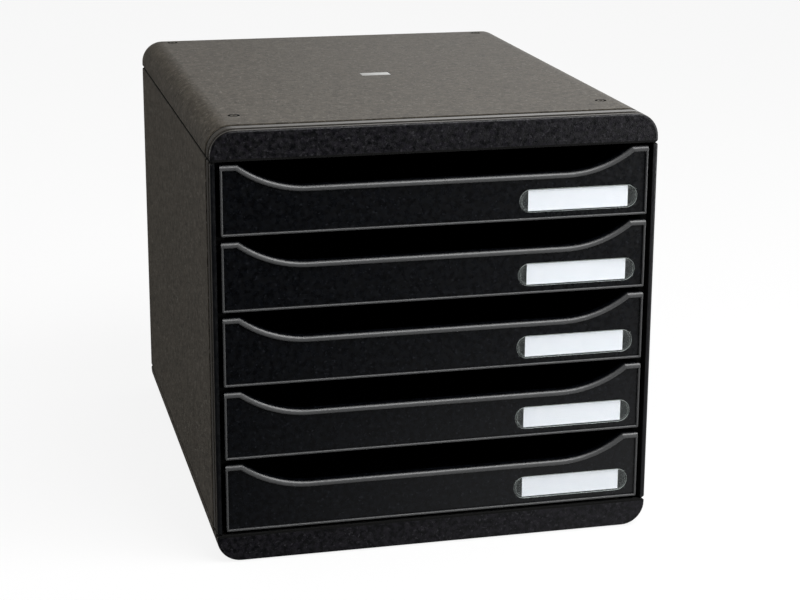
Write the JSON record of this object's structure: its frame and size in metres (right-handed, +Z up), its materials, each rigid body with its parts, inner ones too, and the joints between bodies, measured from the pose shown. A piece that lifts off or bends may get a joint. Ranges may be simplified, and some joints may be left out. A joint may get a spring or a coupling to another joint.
{
  "type": "desktop drawer unit",
  "caption": "Free-standing desktop drawer unit: a moulded housing with rounded cap and base, and shallow pull-out trays with scooped fronts and label windows.",
  "frame": {"origin": "centre of the footprint, on the surface that the unit stands on", "axes": "+X to the right seen from the front, -Y towards the user (drawers open that way), +Z up"},
  "size_m": [0.278, 0.347, 0.271],
  "materials": {
    "housing_shell": "fine grained black plastic",
    "drawer_shell": "satin black moulded plastic",
    "back_shell": "smooth matte black plastic",
    "badge_metal": "bare satin plate",
    "foot_rubber": "soft black rubber",
    "card_paper": "white card",
    "clear_window": "clear moulded plastic"
  },
  "bodies": {
    "housing": {"top_cap": "housing_shell", "base_tray": "housing_shell", "left_side_panel": "housing_shell", "right_side_panel": "housing_shell", "back_panel": "back_shell", "badge_plate": "badge_metal", "foot_front_left": "foot_rubber", "foot_front_right": "foot_rubber", "foot_rear_left": "foot_rubber", "foot_rear_right": "foot_rubber"},
    "drawer_1": {"drawer_tray_1": "drawer_shell", "label_window_1": "clear_window", "label_card_1": "card_paper"},
    "drawer_2": {"drawer_tray_2": "drawer_shell", "label_window_2": "clear_window", "label_card_2": "card_paper"},
    "drawer_3": {"drawer_tray_3": "drawer_shell", "label_window_3": "clear_window", "label_card_3": "card_paper"},
    "drawer_4": {"drawer_tray_4": "drawer_shell", "label_window_4": "clear_window", "label_card_4": "card_paper"},
    "drawer_5": {"drawer_tray_5": "drawer_shell", "label_window_5": "clear_window", "label_card_5": "card_paper"}
  },
  "joints": [
    {"name": "drawer_slide_1", "type": "slide", "parent": "housing", "child": "drawer_1", "axis": [0, -1, 0], "range_m": [0, 0.25]},
    {"name": "drawer_slide_2", "type": "slide", "parent": "housing", "child": "drawer_2", "axis": [0, -1, 0], "range_m": [0, 0.25]},
    {"name": "drawer_slide_3", "type": "slide", "parent": "housing", "child": "drawer_3", "axis": [0, -1, 0], "range_m": [0, 0.25]},
    {"name": "drawer_slide_4", "type": "slide", "parent": "housing", "child": "drawer_4", "axis": [0, -1, 0], "range_m": [0, 0.25]},
    {"name": "drawer_slide_5", "type": "slide", "parent": "housing", "child": "drawer_5", "axis": [0, -1, 0], "range_m": [0, 0.25]}
  ]
}
